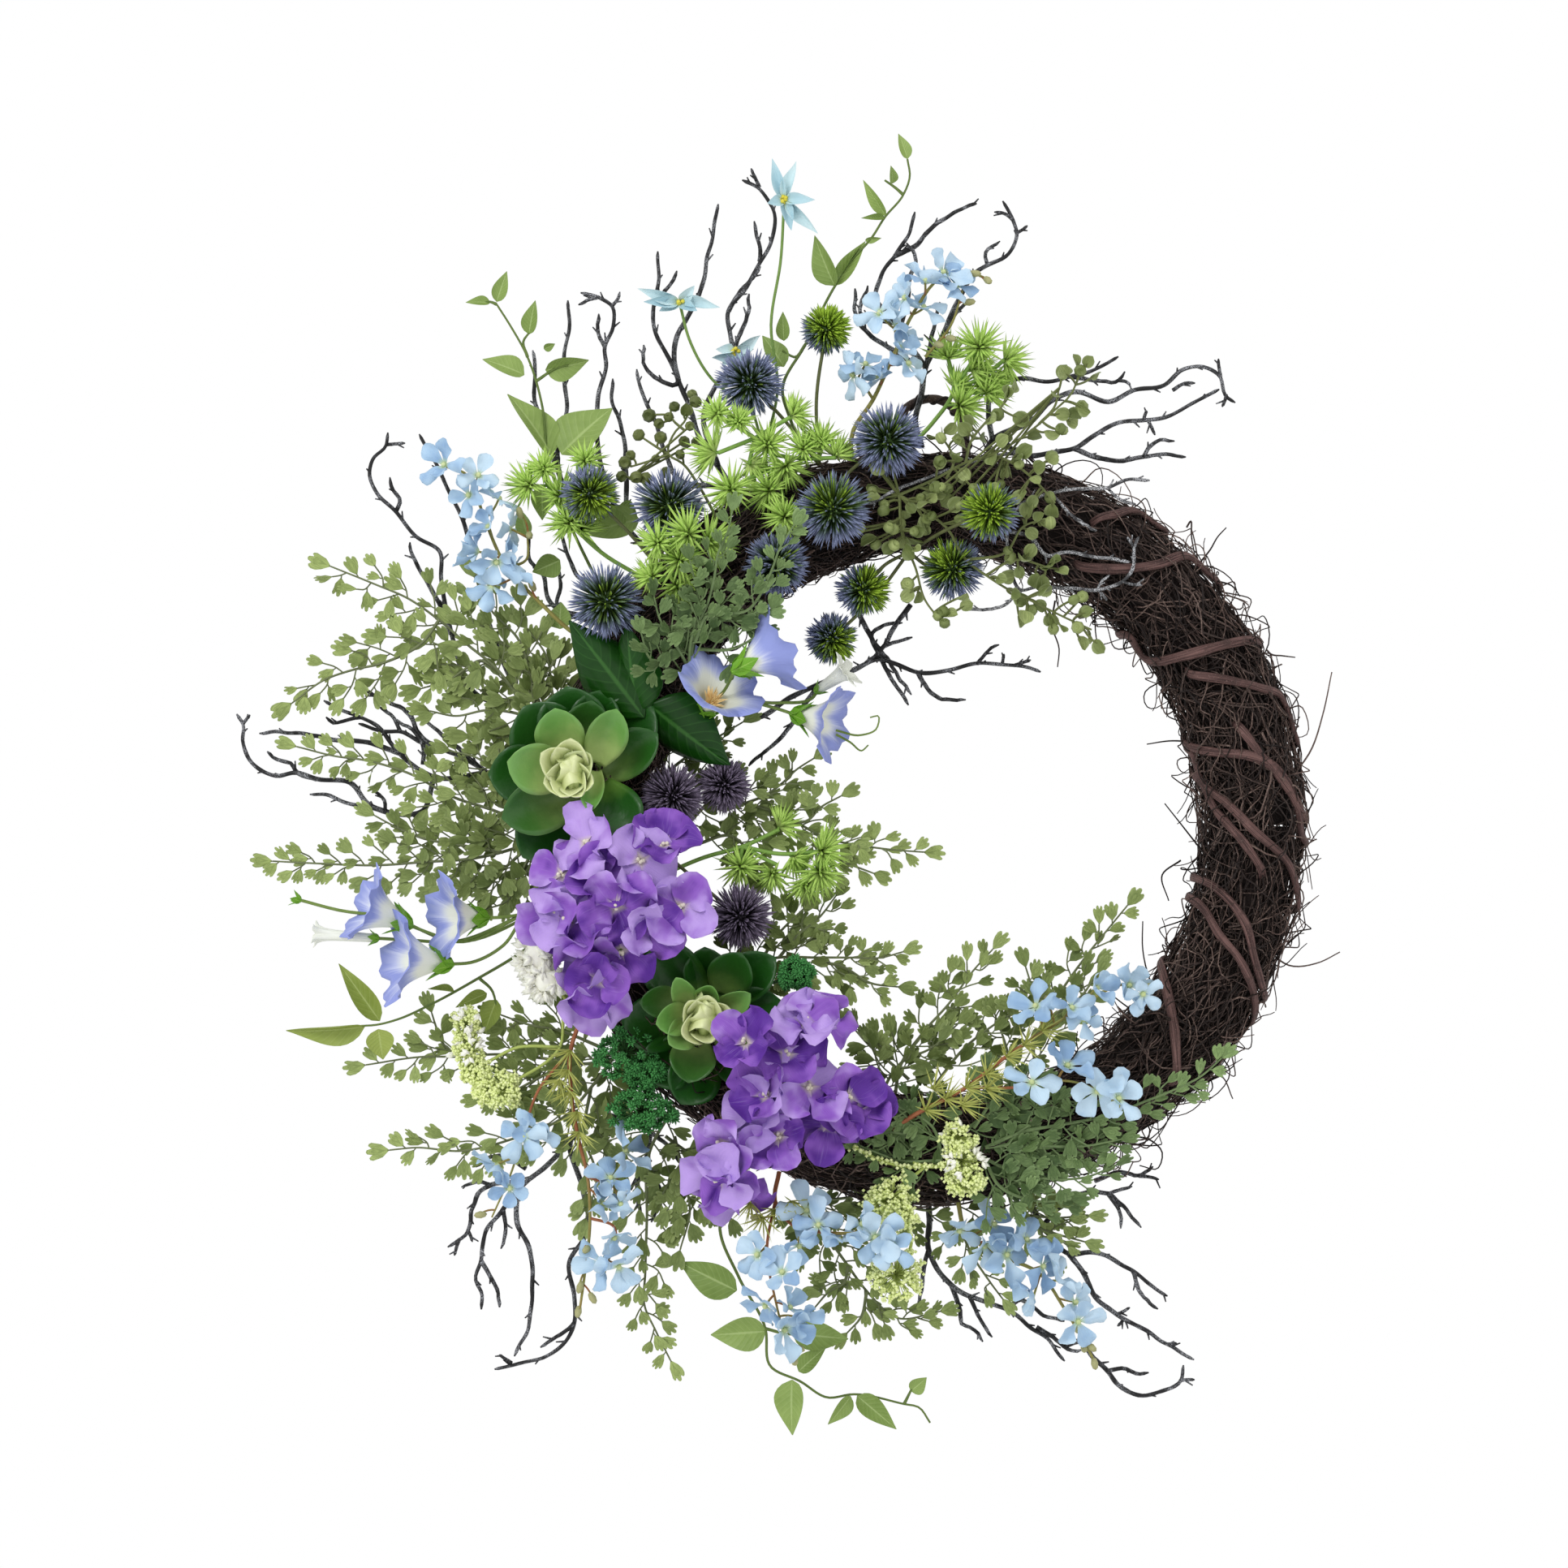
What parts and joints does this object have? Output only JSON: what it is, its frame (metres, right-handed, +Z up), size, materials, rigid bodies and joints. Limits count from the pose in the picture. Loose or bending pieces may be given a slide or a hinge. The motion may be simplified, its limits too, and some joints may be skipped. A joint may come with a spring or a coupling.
{
  "type": "wall wreath",
  "caption": "Round twig wreath that hangs by a vine loop, with artificial wildflowers, ferns, succulents and bare twigs on its left, top and bottom.",
  "frame": {"origin": "the point on the wall where the nail under the hanging loop goes in", "axes": "+Z up, +Y into the wall, so the wreath faces -Y; +X to the right as seen from the front"},
  "size_m": [0.6622, 0.119, 0.8003],
  "materials": {
    "dark_twig": "very dark brown fine twigs, dry and matte",
    "vine_bark": "reddish brown vine bark, matte",
    "black_spray": "near-black moulded twigs with silver dry-brushing",
    "fern_green": "olive to dark green, matte",
    "leaf_green": "mid green leaves, matte",
    "glossy_green": "dark green, glossy",
    "olive_leaf": "olive green, satin",
    "succulent_green": "green with a cream heart, waxy",
    "hydrangea_purple": "violet to lilac petals, matte",
    "delphinium_blue": "pale sky blue petals, matte",
    "morning_glory_blue": "periwinkle petals with a white throat, matte",
    "thistle_blue": "slate blue spikes over a green core, matte",
    "lime_green": "lime green, satin",
    "star_aqua": "pale aqua petals, matte",
    "tuft_yellow_green": "pale yellow-green, matte",
    "tuft_dark_green": "dark green feathery needles"
  },
  "bodies": {
    "root": {"twig_ring": "dark_twig", "bark_vine_1": "vine_bark", "bark_vine_2": "vine_bark", "bark_vine_3": "vine_bark", "bark_vine_4": "vine_bark", "hanging_loop": "vine_bark", "twig_spray_top_left": "black_spray", "twig_spray_top": "black_spray", "twig_spray_top_right": "black_spray", "twig_spray_right": "black_spray", "twig_spray_front": "black_spray", "twig_spray_inner": "black_spray", "twig_spray_left": "black_spray", "twig_spray_bottom_left": "black_spray", "twig_spray_bottom": "black_spray", "twig_spray_bottom_right": "black_spray", "fern_left_top": "fern_green", "fern_left_low": "fern_green", "fern_bottom_left": "fern_green", "fern_hanging": "fern_green", "fern_inner": "fern_green", "fern_inner_low": "fern_green", "fern_rising": "fern_green", "fern_rising_right": "fern_green", "fern_front": "fern_green", "fern_bottom": "fern_green", "fern_centre": "fern_green", "leafy_vine_top": "leaf_green", "leafy_vine_left_top": "leaf_green", "leafy_vine_bottom": "leaf_green", "long_leaf_sprig": "leaf_green", "broad_leaves": "glossy_green", "round_leaf_spray_right": "olive_leaf", "seed_spray_left": "olive_leaf", "succulent_upper": "succulent_green", "succulent_lower": "succulent_green", "hydrangea_upper": "hydrangea_purple", "hydrangea_lower": "hydrangea_purple", "blue_spray_top": "delphinium_blue", "blue_spray_left_top": "delphinium_blue", "blue_spray_bottom_left": "delphinium_blue", "blue_spray_bottom": "delphinium_blue", "blue_spray_bottom_right": "delphinium_blue", "blue_spray_right": "delphinium_blue", "morning_glories_left": "morning_glory_blue", "morning_glories_inner": "morning_glory_blue", "thistles_left_top": "thistle_blue", "thistles_top": "thistle_blue", "thistles_middle": "thistle_blue", "thistles_right": "thistle_blue", "thistles_inner": "thistle_blue", "lime_umbel_right": "lime_green", "lime_umbel_middle": "lime_green", "lime_umbel_left": "lime_green", "lime_umbel_front": "lime_green", "lime_umbel_inner": "lime_green", "star_flowers": "star_aqua", "pale_tufts_left": "tuft_yellow_green", "yellow_tufts_bottom": "tuft_yellow_green", "dark_tufts": "tuft_dark_green"}
  },
  "joints": []
}
